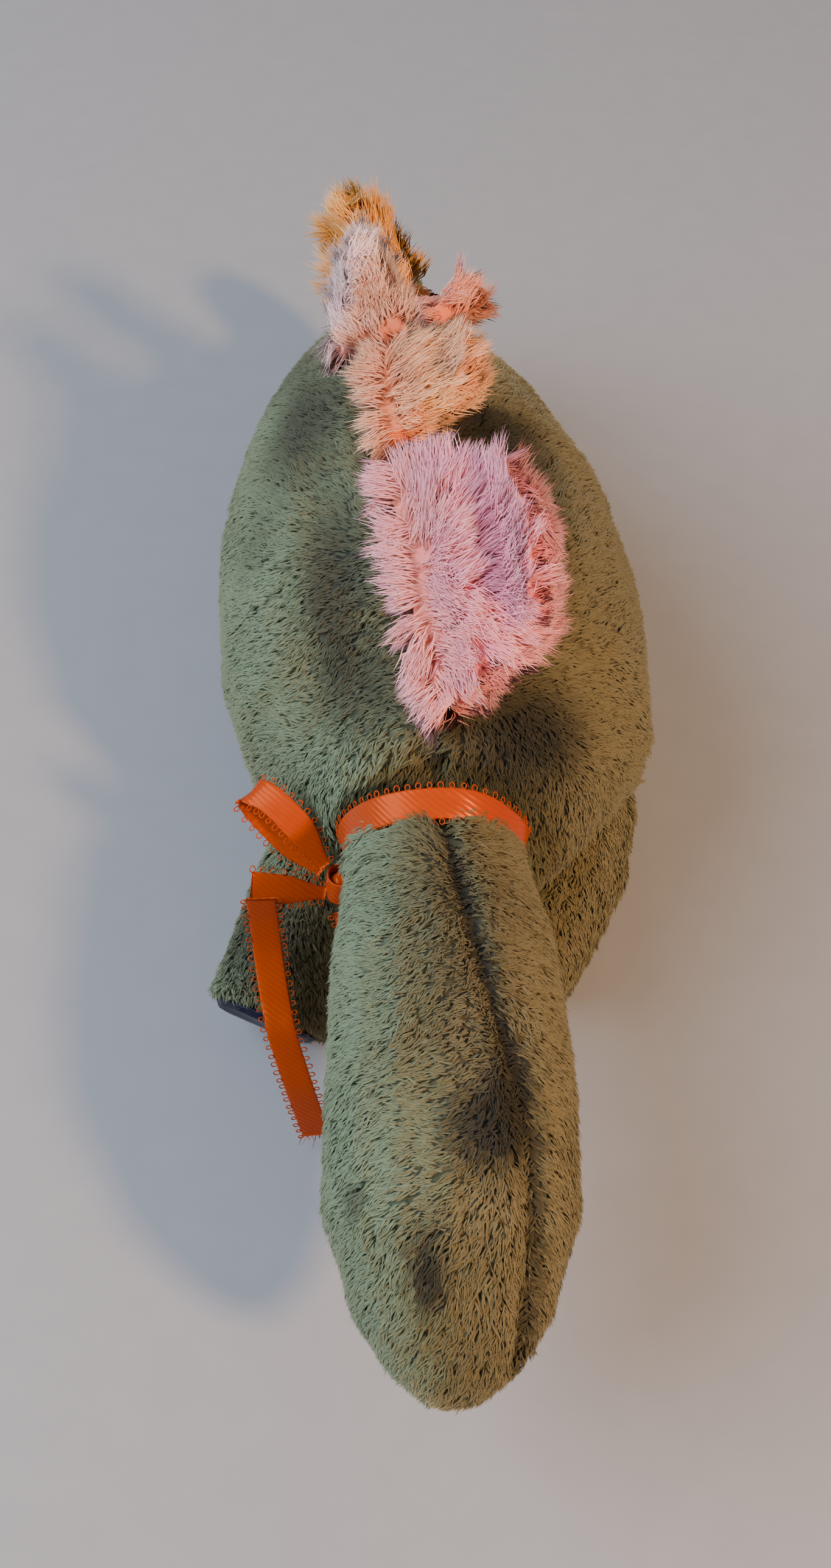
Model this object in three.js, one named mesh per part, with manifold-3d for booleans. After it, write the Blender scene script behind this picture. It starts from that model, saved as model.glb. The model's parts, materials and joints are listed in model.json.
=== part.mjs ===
// Stuffed dinosaur: a plush toy lying on its belly, with a row of floppy plates down its back
// and a ribbon tied round its neck. It faces -Y, its tail is at +Y, +X is its own left, +Z is up.
// All sizes are in millimetres. The origin is under the middle of the toy, on the surface.

import * as THREE from 'three';
import { mergeVertices } from 'three/addons/utils/BufferGeometryUtils.js';
import Module from 'manifold-3d';

const wasm = await Module();
wasm.setup();

// Driving sizes
const GAP = 0.3;               // left between pieces that touch
const SKIN = 2.5;              // thickness of plush cloth
const WIDE = 600;              // cutting blocks are larger than the toy
const BELLY_WIDTH = 50;
const BELLY_MIDDLE = -8;
const BELLY_TOP = 26;
const BEAN_LEVEL = 34;         // plastic beans fill the torso up to here

// Each station of a stuffed form is [x, y, z, half width, half height].
const TORSO = [
  [-16, 152, 40, 21, 22], [-15, 122, 46, 30, 31], [-12.5, 90, 51, 43, 48], [-7, 50, 55, 55, 60.5],
  [-1.5, 8, 55.5, 56.5, 59], [1, -22, 61, 51, 48], [-2, -46, 68, 30, 29], [-3, -57, 71, 22.5, 22.5],
  [-3, -80, 77, 18, 18],
];
const NECK_PIVOT = [-3, -57, 71];
const NECK_RISE = 15;          // degrees above level
const NECK_BALL = 16;
const HEAD = [
  [-3, -45, 68, 19, 19], [-3, -57, 71, 19.6, 19.6], [-2.6, -62.5, 72.4, 19.8, 19.8],
  [-1.5, -72, 74.6, 23.5, 22.5], [0, -104, 77.5, 26, 24.5], [0.5, -134, 72, 27, 25],
  [0.5, -158, 62, 24.5, 21], [1, -175, 52, 20, 15],
];
const TAIL_PIVOT = [-15, 124, 45.5];
const TAIL_DROP = 20;          // degrees below level
const TAIL_BALL = 21;
const TAIL_RADIUS = 26;
const TAIL = [
  [-15, 108, 51, 27, 27], [-15, 124, 45.5, 26, 26.5], [-16, 143, 40.5, 21, 20.5],
  [-17, 158, 42, 16, 15], [-18, 167, 51, 12.5, 11.5], [-19, 169, 62, 10.5, 10], [-19, 167, 72, 9.5, 9],
];
const TAIL_SWING = 18;         // degrees that the tail bends each way
const BALL_ROOM = 1.4;         // between a ball of stuffing and its faceted cup
const LEG_RAISE = 6;           // degrees
const LEG_LOWER = 20;
const LEG_ROOM = 2.9;
const LEG_RADII = [17, 18.5, 17.5, 16.5, 16];
const SOLE = 2.4;
const LEGS = {
  front_leg_left: [[36, 4, 38], [36, -14, 35], [32, -34, 28], [22, -54, 21.5], [13, -68, 17.5]],
  front_leg_right: [[-22, -6, 36], [-27, -24, 32], [-34, -46, 24], [-42, -66, 19.5], [-47.5, -79, 15.5]],
  rear_leg_left: [[27, 106, 34], [29, 86, 33], [33, 64, 26], [35, 44, 19], [35, 31, 15.5]],
  rear_leg_right: [[-45, 106, 34], [-46, 86, 33], [-47, 64, 26], [-48, 44, 19], [-48, 31, 15.5]],
};
// Each plate of the crest: front and rear end of its sewn base, height and rest lean to +X in degrees.
const PLATES = [
  { from: [-3, -38, 101.7], to: [-13, 20, 118.2], height: 42, lean: 54 },
  { from: [-14, 27, 118.6], to: [-18, 62, 116.2], height: 32, lean: 62 },
  { from: [-28, 76, 104.8], to: [-8, 84, 106.3], height: 35, lean: -6 },
  { from: [-3, 95, 100.8], to: [-3, 110, 91], height: 20, lean: 64 },
  { from: [-6, 115, 89.2], to: [-29, 127, 81.5], height: 36, lean: 0 },
];
const PLATE_FACE = 3;          // each of a plate's two cloth faces, with its pile pressed flat
const EYE_RADIUS = 3.8;
const EYE_MIDDLE = [0.5, -150, 65];   // on the head's own middle line
const EYE_REACH = 22.4;
const EYE_DROP = 40;           // degrees below level
// Seams over the head and the tail, as [x, y] points: the head's wanders to its left cheek.
const HEAD_SEAM = [[-2, -57], [3, -80], [10, -98], [15, -118]];
const TORSO_SEAM = [
  [-16, 152], [-29, 127], [-6, 115], [-3, 97], [-18, 70], [-15, 24], [-2, -42], [-3, -80],
];
const TAIL_SEAM = [[-15, 124], [-16, 143], [-18, 158], [-21, 170]];
const RIBBON_WIDTH = 7;
const RIBBON = 0.5;
const BAND_RADIUS = 20.8;
const KNOT = [-24.8, -56.6, 58];
const KNOT_SIZE = [3.6, 3.3, 3.5];
const STRIPS = {
  ribbon_loop_upper: {
    route: [[-28.6, -54.6, 63], [-35, -47.8, 70], [-42, -41.8, 73], [-46.5, -39.2, 71.5],
      [-45.5, -40.8, 67.5], [-38, -47.2, 62.8], [-29.6, -54, 59]],
    across: [0.72, 0.58, 0.38],
  },
  ribbon_loop_lower: {
    route: [[-20.9, -58.4, 53.6], [-14, -60.5, 49.6], [-5, -62, 46], [1, -63, 43],
      [-1, -63, 40.4], [-10, -61.5, 43.4], [-20.6, -59, 49.8]],
    across: [0, -0.9, 0.3],
  },
  ribbon_fold: {
    route: [[-28.8, -58.4, 56.4], [-34, -58.8, 58.2], [-40, -59, 59.8], [-46.4, -58.8, 60.6]],
    across: [0.1, -0.8, 0.5],
  },
  ribbon_tail_long: {
    route: [[-43.8, -62.6, 61.5], [-43.4, -65.4, 53], [-42.8, -69.8, 46], [-41.2, -78.7, 41],
      [-39.2, -87, 36.8], [-36, -94.5, 26], [-33.8, -98.5, 15.5], [-32.1, -101, 7.5]],
    across: [1, 0, 0],
  },
  ribbon_tail_short: {
    route: [[-23.6, -62.4, 55], [-21, -66.5, 47], [-17, -71, 36], [-13, -77, 26],
      [-10, -86, 15], [-8.5, -97, 6], [-8.5, -109, 2.2]],
    across: [1, 0, 0],
  },
};
const LOOSE_ENDS = ['ribbon_tail_long', 'ribbon_tail_short'];

// Finishes
const finish = (color, roughness) => new THREE.MeshStandardMaterial({ color, roughness, metalness: 0 });
const greenPlush = finish('#7d8a62', 0.9);
const fibre = finish('#f2efe6', 0.95);
const beanCloth = finish('#d9d4c5', 0.9);
const soleCloth = finish('#1d1a2b', 0.5);
const satin = finish('#d9541c', 0.4);
const eyePlastic = finish('#0c0b0a', 0.15);
const washerPlastic = finish('#e6e6e0', 0.5);
const crestPlush = ['#f0a4b4', '#f3b08c', '#f2cfc8', '#f0a088', '#e8a552'].map((c) => finish(c, 0.9));

const toy = new THREE.Group();
const turnX = (degrees) => THREE.MathUtils.degToRad(degrees);

function solidOf(geometry) {
  const bare = geometry.clone();
  bare.deleteAttribute('normal');
  bare.deleteAttribute('uv');
  const merged = mergeVertices(bare, 1e-3);
  return new wasm.Manifold(new wasm.Mesh({
    numProp: 3,
    vertProperties: new Float32Array(merged.attributes.position.array),
    triVerts: new Uint32Array(merged.index.array),
  }));
}

// Adds one piece. Slivers that the cuts leave loose from it are dropped.
function add(name, solid, material) {
  const [whole] = solid.decompose().sort((a, b) => b.volume() - a.volume());
  const cut = whole.getMesh();
  const geometry = new THREE.BufferGeometry();
  geometry.setAttribute('position', new THREE.BufferAttribute(cut.vertProperties, 3));
  geometry.setIndex(new THREE.BufferAttribute(cut.triVerts, 1));
  const mesh = new THREE.Mesh(geometry, material);
  mesh.name = name;
  toy.add(mesh);
  return mesh;
}

// A stuffed form: a sphere drawn out along the stations, with rounded ends.
function softForm(stations, { grow = 0, around = 20, along = 14, caps = [0.3, 0.3] } = {}) {
  const line = new THREE.CatmullRomCurve3(stations.map(([x, y, z]) => new THREE.Vector3(x, y, z)));
  const sizes = new THREE.CatmullRomCurve3(stations.map(([, , , w, h]) => new THREE.Vector3(w, h, 0)));
  const facing = Math.sign(stations[0][1] - stations.at(-1)[1]);
  const geometry = new THREE.SphereGeometry(1, around, along);
  const place = geometry.attributes.position;
  for (let i = 0; i < place.count; i += 1) {
    const pole = place.getY(i);
    const t = THREE.MathUtils.clamp((1 - pole) / 2, 0, 1);
    const ring = Math.hypot(place.getX(i), place.getZ(i));
    const [across, upward] = ring > 1e-6 ? [place.getX(i) / ring, place.getZ(i) / ring] : [0, 0];
    const end = t < caps[0] ? 1 - t / caps[0] : Math.max(0, 1 - (1 - t) / caps[1]);
    const round = Math.sqrt(Math.max(0, 1 - end * end));
    const tangent = line.getTangent(t);
    const side = new THREE.Vector3(facing, 0, 0);
    side.addScaledVector(tangent, -side.dot(tangent)).normalize();
    const up = tangent.clone().cross(side);
    const size = sizes.getPoint(t);
    const point = line.getPoint(t)
      .addScaledVector(tangent, -grow * pole)
      .addScaledVector(side, across * (size.x + grow) * round)
      .addScaledVector(up, upward * (size.y + grow) * round);
    place.setXYZ(i, point.x, point.y, point.z);
  }
  return solidOf(geometry);
}

// A block with one face through a point, lying on the side that the normal points to.
function block(normal, point, { depth = WIDE, shift = 0 } = {}) {
  const direction = new THREE.Vector3(...normal).normalize();
  const geometry = new THREE.BoxGeometry(WIDE, WIDE, depth);
  geometry.translate(0, 0, depth / 2 + shift);
  geometry.applyQuaternion(new THREE.Quaternion().setFromUnitVectors(new THREE.Vector3(0, 0, 1), direction));
  geometry.translate(...point);
  return solidOf(geometry);
}

function ball(centre, radius) {
  const geometry = new THREE.SphereGeometry(radius, 14, 8);
  geometry.translate(...centre);
  return solidOf(geometry);
}

function turned(solid, pivot, degrees) {
  const swing = new THREE.Matrix4().makeTranslation(...pivot)
    .multiply(new THREE.Matrix4().makeRotationX(turnX(degrees)))
    .multiply(new THREE.Matrix4().makeTranslation(...pivot.map((v) => -v)));
  return solid.transform(swing.elements);
}

const ground = block([0, 0, 1], [0, 0, 0]);
const lining = block([0, 0, 1], [0, 0, SKIN]);
const innerLining = block([0, 0, 1], [0, 0, SKIN + GAP]);

// The part of space on one side of an upright seam that follows [x, y] points in order of y.
function besideSeam(side, seam) {
  const edge = side * GAP / 2;
  const towards = Math.sign(seam.at(-1)[1] - seam[0][1]);
  const outline = new THREE.Shape();
  outline.moveTo(edge + seam[0][0], -towards * WIDE / 2);
  seam.forEach(([x, y]) => outline.lineTo(edge + x, y));
  outline.lineTo(edge + seam.at(-1)[0], towards * WIDE / 2);
  outline.lineTo(side * WIDE / 2, towards * WIDE / 2);
  outline.lineTo(side * WIDE / 2, -towards * WIDE / 2);
  outline.closePath();
  return solidOf(new THREE.ExtrudeGeometry(outline, { depth: WIDE, bevelEnabled: false }));
}

// Joints of the neck and tail: the far piece turns about a ball of stuffing inside the torso.
const neckAxis = [0, -Math.cos(turnX(NECK_RISE)), Math.sin(turnX(NECK_RISE))];
const tailAxis = [0, Math.cos(turnX(TAIL_DROP)), -Math.sin(turnX(TAIL_DROP))];
const beyondNeck = block(neckAxis, NECK_PIVOT, { shift: -RIBBON_WIDTH - 2.5 * GAP });
const tailBack = TAIL_RADIUS * Math.sin(turnX(TAIL_SWING)) + 3 * GAP;
const beyondTail = block(tailAxis, TAIL_PIVOT, { shift: -tailBack });

// Legs: a stuffed tube that rounds off inside the shoulder and ends in a flat sewn sole.
// Returns the space that the leg sweeps as it swings at the hip.
function makeLeg(name, route) {
  const stations = route.map((point, i) => [...point, LEG_RADII[i], LEG_RADII[i]]);
  const options = { around: 12, along: 8, caps: [0.5, 0.12] };
  const [hip, foot, toe] = [route[1], new THREE.Vector3(...route[3]), new THREE.Vector3(...route[4])];
  const forward = toe.clone().sub(foot).normalize().toArray();
  const seam = foot.clone().lerp(toe, 0.55).toArray();
  const beyond = (shift) => block(forward, seam, { shift });
  const outer = softForm(stations, options).intersect(ground);
  const inner = softForm(stations, { ...options, grow: -SKIN }).intersect(lining);
  const packed = softForm(stations, { ...options, grow: -SKIN - GAP }).intersect(innerLining);
  add(`${name}_skin`, outer.subtract(inner).subtract(beyond(0)), greenPlush);
  add(`${name}_fill`, packed.subtract(beyond(-GAP)), fibre);
  add(`${name}_sole`, outer.intersect(beyond(GAP)).subtract(beyond(GAP + SOLE)), soleCloth);
  const room = softForm(stations, { around: 8, along: 7, caps: options.caps, grow: LEG_ROOM });
  const stops = [-LEG_RAISE, (LEG_LOWER - LEG_RAISE) / 2, LEG_LOWER];
  return stops.map((degrees) => turned(room, hip, degrees)).reduce((all, one) => all.add(one));
}
const legRooms = Object.entries(LEGS).map(([name, route]) => makeLeg(name, route));

// Torso: two side panels and a belly panel round the stuffing and a pouch of plastic beans.
const torsoOptions = { around: 20, along: 14, caps: [0.04, 0.04] };
function openTorso(grow, floor, options) {
  const form = softForm(TORSO, { ...options, grow }).intersect(floor)
    .subtract(beyondNeck).subtract(beyondTail);
  return legRooms.reduce((rest, room) => rest.subtract(room), form);
}
const torsoShell = openTorso(0, ground, torsoOptions)
  .subtract(softForm(TORSO, { ...torsoOptions, grow: -SKIN }).intersect(lining));
const bellyBlock = (edge) => solidOf(
  new THREE.BoxGeometry(BELLY_WIDTH + 2 * edge, WIDE, 2 * (BELLY_TOP + edge)).translate(BELLY_MIDDLE, 0, 0),
);
const sides = torsoShell.subtract(bellyBlock(GAP));
add('torso_panel_left', sides.intersect(besideSeam(1, TORSO_SEAM)), greenPlush);
add('torso_panel_right', sides.intersect(besideSeam(-1, TORSO_SEAM)), greenPlush);
add('belly_panel', torsoShell.intersect(bellyBlock(0)), greenPlush);
const stuffing = openTorso(-SKIN - GAP, innerLining, torsoOptions)
  .subtract(ball(NECK_PIVOT, NECK_BALL + BALL_ROOM)).subtract(ball(TAIL_PIVOT, TAIL_BALL + BALL_ROOM));
add('torso_fibre_fill', stuffing.subtract(block([0, 0, -1], [0, 0, BEAN_LEVEL + GAP])), fibre);
add('bean_pouch', stuffing.intersect(block([0, 0, -1], [0, 0, BEAN_LEVEL])), beanCloth);

// Head and tail: two panels round a filling that goes on as the ball inside the torso.
function beyondPanels(name, stations, options, { pivot, axis, ballRadius, split }) {
  const behind = block(axis.map((v) => -v), pivot);
  const outer = softForm(stations, options).intersect(ground).subtract(behind);
  const shell = outer.subtract(softForm(stations, { ...options, grow: -SKIN }).intersect(lining));
  const filling = softForm(stations, { ...options, grow: -SKIN - GAP }).intersect(innerLining)
    .subtract(behind);
  return { shell, filling: filling.add(ball(pivot, ballRadius)), left: split(1), right: split(-1) };
}

const headOptions = { around: 16, along: 12, caps: [0.04, 0.3] };
const head = beyondPanels('head', HEAD, headOptions,
  { pivot: NECK_PIVOT, axis: neckAxis, ballRadius: NECK_BALL, split: (side) => besideSeam(side, HEAD_SEAM) });
const tailOptions = { around: 14, along: 10, caps: [0.04, 0.16] };
const tail = beyondPanels('tail', TAIL, tailOptions,
  { pivot: TAIL_PIVOT, axis: tailAxis, ballRadius: TAIL_BALL, split: (side) => besideSeam(side, TAIL_SEAM) });

// Eyes: a domed plastic button on a post, held by a washer inside the head.
const eyeRooms = [];
for (const side of [-1, 1]) {
  const word = side > 0 ? 'left' : 'right';
  const direction = new THREE.Vector3(side * Math.cos(turnX(EYE_DROP)), 0, -Math.sin(turnX(EYE_DROP)));
  const seat = new THREE.Vector3(...EYE_MIDDLE).addScaledVector(direction, EYE_REACH);
  const upright = new THREE.Quaternion().setFromUnitVectors(new THREE.Vector3(0, 1, 0), direction);
  const spin = (profile) => solidOf(new THREE.LatheGeometry(profile.map((p) => new THREE.Vector2(...p)), 12)
    .applyQuaternion(upright).translate(...seat.toArray()));
  const post = 1.2;
  const depth = SKIN + 4;
  add(`eye_${word}`, spin([[0, -depth], [post, -depth], [post, 0], [EYE_RADIUS, 0.1], [EYE_RADIUS * 0.93, 1],
    [EYE_RADIUS * 0.66, 2.1], [0, 2.9]]), eyePlastic);
  add(`eye_washer_${word}`, spin([[post + GAP, -depth + 0.8], [5, -depth + 0.8], [5, -depth + 2],
    [post + GAP, -depth + 2], [post + GAP, -depth + 0.8]]), washerPlastic);
  eyeRooms.push(spin([[0, -depth - 0.5], [6, -depth - 0.5], [6, -depth + 2.4], [post + GAP, -depth + 2.4],
    [post + GAP, -0.3], [6, -0.3], [6, 9], [0, 9]]));
}
const withoutEyes = (solid) => eyeRooms.reduce((rest, room) => rest.subtract(room), solid);
add('head_panel_left', withoutEyes(head.shell.intersect(head.left)), greenPlush);
add('head_panel_right', withoutEyes(head.shell.intersect(head.right)), greenPlush);
add('head_fibre_fill', withoutEyes(head.filling), fibre);
add('tail_panel_left', tail.shell.intersect(tail.left), greenPlush);
add('tail_panel_right', tail.shell.intersect(tail.right), greenPlush);
add('tail_fibre_fill', tail.filling, fibre);

// Crest: each plate is two leaf-shaped cloth faces sewn together, standing on a straight hinge line.
PLATES.forEach(({ from, to, height, lean }, i) => {
  const [start, end] = [from, to].map((point) => new THREE.Vector3(...point));
  const length = start.distanceTo(end);
  const along = end.clone().sub(start).normalize();
  const up = new THREE.Vector3(0, 0, 1).projectOnPlane(along).normalize();
  const leaf = new THREE.Shape();
  leaf.moveTo(0, 0);
  leaf.lineTo(length, 0);
  leaf.bezierCurveTo(length * 1.02, height * 0.6, length * 0.85, height, length * 0.5, height);
  leaf.bezierCurveTo(length * 0.15, height, -length * 0.02, height * 0.6, 0, 0);
  const faceShape = { depth: PLATE_FACE, bevelEnabled: false, curveSegments: 5 };
  for (const side of [-1, 1]) {
    const face = new THREE.ExtrudeGeometry(leaf, faceShape);
    face.translate(0, 0, side > 0 ? GAP / 2 : -GAP / 2 - PLATE_FACE);
    face.applyMatrix4(new THREE.Matrix4().makeRotationX(turnX(lean)));
    face.applyMatrix4(new THREE.Matrix4().makeBasis(along, up, along.clone().cross(up)));
    face.translate(...start.toArray());
    add(`plate_${i + 1}_face_${side > 0 ? 'b' : 'a'}`, solidOf(face), crestPlush[i]);
  }
});

// Ribbon: a band in the groove of the neck, a knot at the right of the throat, two loops and two tails.
const backOff = RIBBON_WIDTH / 2 + GAP + 0.1;
const bandOutline = new THREE.Shape().absarc(0, 0, BAND_RADIUS + RIBBON, 0, 2 * Math.PI);
bandOutline.holes.push(new THREE.Path().absarc(0, 0, BAND_RADIUS, 0, 2 * Math.PI));
const bandAxis = new THREE.Vector3(...neckAxis);
const ringMiddle = new THREE.Vector3(...NECK_PIVOT).addScaledVector(bandAxis, -backOff);
const bandTurn = new THREE.Quaternion().setFromUnitVectors(new THREE.Vector3(0, 0, 1), bandAxis);
const bandShape = { depth: RIBBON_WIDTH, bevelEnabled: false, curveSegments: 16 };
const band = new THREE.ExtrudeGeometry(bandOutline, bandShape);
band.translate(0, 0, -RIBBON_WIDTH / 2).applyQuaternion(bandTurn).translate(...ringMiddle.toArray());
add('ribbon_neckband', solidOf(band), satin);
add('ribbon_knot', solidOf(new THREE.SphereGeometry(1, 12, 8).scale(...KNOT_SIZE).translate(...KNOT)), satin);

// A flat strip along a route, its width lying along `across`.
function strip(route, across) {
  const line = new THREE.CatmullRomCurve3(route.map((p) => new THREE.Vector3(...p)));
  const steps = (route.length - 1) * 3;
  const geometry = new THREE.BoxGeometry(1, 1, steps, 1, 1, steps);
  const place = geometry.attributes.position;
  for (let i = 0; i < place.count; i += 1) {
    const t = THREE.MathUtils.clamp((place.getZ(i) + steps / 2) / steps, 0, 1);
    const tangent = line.getTangent(t);
    const width = new THREE.Vector3(...across).projectOnPlane(tangent).normalize();
    const thick = tangent.clone().cross(width);
    const point = line.getPoint(t)
      .addScaledVector(width, place.getX(i) * RIBBON_WIDTH).addScaledVector(thick, place.getY(i) * RIBBON);
    place.setXYZ(i, point.x, point.y, point.z);
  }
  return solidOf(geometry);
}
for (const [name, { route, across }] of Object.entries(STRIPS)) add(name, strip(route, across), satin);

// The origin: under the middle of the toy's box without the ribbon's loose ends.
const box = new THREE.Box3();
toy.children.filter(({ name }) => !LOOSE_ENDS.includes(name)).forEach((mesh) => box.expandByObject(mesh));
const middle = box.getCenter(new THREE.Vector3());
toy.position.set(-middle.x, -middle.y, -box.min.z);

export default toy;
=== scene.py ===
"""A plush dinosaur on a pale table: short combed pile, a fluffy crest and a satin ribbon bow."""

import json
import math

import bpy
import numpy as np
from bpy.props import FloatProperty, IntProperty, PointerProperty, StringProperty
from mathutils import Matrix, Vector
from mathutils.bvhtree import BVHTree


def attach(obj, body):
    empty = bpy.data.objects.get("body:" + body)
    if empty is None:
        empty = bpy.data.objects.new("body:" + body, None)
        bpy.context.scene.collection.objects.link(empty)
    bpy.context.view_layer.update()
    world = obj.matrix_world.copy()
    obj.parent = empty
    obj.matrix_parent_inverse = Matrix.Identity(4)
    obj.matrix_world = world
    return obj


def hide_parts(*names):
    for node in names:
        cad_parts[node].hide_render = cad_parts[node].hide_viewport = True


bl_info = {
    "name": "Plush dinosaur",
    "version": (1, 0, 0),
    "blender": (4, 5, 0),
    "location": "3D View > Sidebar > Dinosaur",
    "description": "Builds a plush dinosaur with a crest and a ribbon bow",
    "category": "Object",
}

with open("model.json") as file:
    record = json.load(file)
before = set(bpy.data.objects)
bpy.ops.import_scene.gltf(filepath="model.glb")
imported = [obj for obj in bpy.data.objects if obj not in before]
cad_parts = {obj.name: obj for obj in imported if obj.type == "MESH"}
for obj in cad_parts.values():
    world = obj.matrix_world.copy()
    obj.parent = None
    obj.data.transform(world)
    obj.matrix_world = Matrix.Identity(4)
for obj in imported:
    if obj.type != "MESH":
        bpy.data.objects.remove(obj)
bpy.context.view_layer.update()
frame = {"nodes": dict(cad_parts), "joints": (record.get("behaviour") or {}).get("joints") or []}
NODES = frame["nodes"]
JOINTS = {joint["name"]: joint for joint in frame["joints"]}
MM = 0.001
# From the sketch's origin, under the neck, to the row frame's, in mm.
SHIFT = np.array([4.928, -1.65, 0.0])
TORSO_PANELS = ["torso_panel_left", "torso_panel_right", "belly_panel"]
TORSO_NODES = TORSO_PANELS + ["torso_fibre_fill", "bean_pouch"]
LEGS = ("front_leg_left", "front_leg_right", "rear_leg_left", "rear_leg_right")

# Seams over the head and the shoulders, as x, y points from the sketch's origin, in mm.
HEAD_SEAM = [(-2, -54), (0, -64), (3, -80), (8, -101), (13, -118), (15.5, -131), (16, -147), (14, -168)]
BACK_SEAM = [(-3, -58), (-2, -42), (-13, 20), (-18, 62), (-18, 72), (-3, 97), (-6, 115), (-29, 127)]

# Darker patches, partly dye spots and partly painted shade beside the crest plates and under the bow: x, y,
# z, three radii (all mm, from the sketch's origin) and strength.
DYE_AND_SHADE = [
    (-35, 55, 104, 14, 28, 18, 0.85),
    (-25, 0, 103, 9, 24, 14, 0.8),
    (2, -90, 98, 13, 28, 12, 0.35),
    (-21, -26, 95, 12, 13, 12, 0.6),
    (17, -35, 91, 17, 13, 17, 1.0),
    (22, 26, 108, 10, 26, 14, 0.65),
    (9, 42, 113, 13, 16, 12, 1.0),
    (24, 74, 95, 9, 18, 14, 0.6),
    (-44, 22, 88, 8, 10, 12, 0.35),
    (-38, 92, 85, 12, 18, 16, 0.6),
    (7.5, -131, 97, 8, 9, 9, 1.0),
    (11, -122, 96, 4, 12, 8, 0.7),
    (-4, -157, 87, 3.8, 10, 9, 1.0),
    (-17.6, -142, 87, 3, 3.6, 5, 0.6),
    # Painted shade under the bow, where the shoulder meets the front leg.
    (-46, -58, 34, 14, 16, 14, 0.7),
]

# Routes of the bow, from the sketch's origin, in mm.
NECK = (-3, -57, 71)
NECK_RISE = math.radians(15)
KNOT = (-24.8, -56.6, 58)
LOOP_UPPER = [(-28.6, -54.6, 63), (-35, -47.8, 70), (-42, -41.8, 73), (-46.5, -39.2, 71.5),
              (-45.5, -40.8, 67.5), (-38, -47.2, 62.8), (-29.6, -54, 59)]
LOOP_LOWER = [(-20.9, -58.4, 53.6), (-14, -60.5, 49.6), (-5, -62, 46), (1, -63, 43),
              (-1, -63, 40.4), (-10, -61.5, 43.4), (-20.6, -59, 49.8)]
FOLD = [(-28.8, -58.4, 56.4), (-34, -58.8, 58.2), (-40, -59, 59.8), (-46.4, -58.8, 60.6)]
TAIL_LONG = [(-43.8, -62.6, 61.5), (-43.4, -65.4, 53), (-42.8, -69.8, 46), (-41.2, -78.7, 41),
             (-39.2, -87, 36.8), (-36, -94.5, 26), (-33.8, -98.5, 15.5), (-32.1, -101, 7.5)]
TAIL_SHORT = [(-23.6, -62.4, 55), (-21, -66.5, 47), (-17, -71, 36), (-13, -77, 26),
              (-10, -86, 15), (-8.5, -97, 6), (-8.5, -109, 2.2)]


# Meshes


def row(points):
    """Points from the sketch's origin, in mm, as row frame metres."""
    return (np.asarray(points, float) + SHIFT) * MM


def unit(vectors):
    """These vectors at a length of one."""
    length = np.linalg.norm(vectors, axis=-1, keepdims=True)
    return vectors / np.maximum(length, 1e-12)


def new_piece(name, points, faces, material=None):
    """A mesh object from an array of points and a list of face arrays."""
    mesh = bpy.data.meshes.new(name)
    corners = np.concatenate([np.asarray(f, np.int32).ravel() for f in faces])
    sizes = np.concatenate([np.full(len(f), np.shape(f)[1], np.int32) for f in faces])
    starts = np.concatenate([[0], np.cumsum(sizes)[:-1]]).astype(np.int32)
    mesh.vertices.add(len(points))
    mesh.vertices.foreach_set("co", np.asarray(points, np.float32).ravel())
    mesh.loops.add(len(corners))
    mesh.polygons.add(len(sizes))
    mesh.polygons.foreach_set("loop_start", starts)
    mesh.loops.foreach_set("vertex_index", corners)
    mesh.update(calc_edges=True)
    mesh.shade_smooth()
    piece = bpy.data.objects.new(name, mesh)
    bpy.context.scene.collection.objects.link(piece)
    if material:
        mesh.materials.append(material)
    return piece


def arrays_of(mesh):
    """A mesh's points, point normals and triangles as arrays."""
    mesh.calc_loop_triangles()
    points = np.zeros(len(mesh.vertices) * 3, np.float32)
    normals = np.zeros(len(mesh.vertices) * 3, np.float32)
    triangles = np.zeros(len(mesh.loop_triangles) * 3, np.int32)
    mesh.vertices.foreach_get("co", points)
    mesh.vertex_normals.foreach_get("vector", normals)
    mesh.loop_triangles.foreach_get("vertices", triangles)
    points, normals = (values.reshape(-1, 3).astype(float) for values in (points, normals))
    return points, normals, triangles.reshape(-1, 3)


def joined(nodes):
    """The points and triangles of several CAD nodes as one mesh."""
    points, triangles, count = [], [], 0
    for node in nodes:
        p, _, t = arrays_of(NODES[node].data)
        points.append(p)
        triangles.append(t + count)
        count += len(p)
    return np.concatenate(points), np.concatenate(triangles)


def relaxed(points, edges, rounds):
    """Smooths points along edges: a step in, then a slightly longer step out, so nothing shrinks."""
    count = np.maximum(np.bincount(edges.ravel(), minlength=len(points)), 1)[:, None]
    ends = np.concatenate([edges[:, 0], edges[:, 1]])
    others = np.concatenate([edges[:, 1], edges[:, 0]])
    for _ in range(rounds):
        for step in (0.5, -0.52):
            near = np.stack([np.bincount(ends, points[others, k], len(points)) for k in range(3)], 1)
            points = points + step * (near / count - points)
    return points


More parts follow.
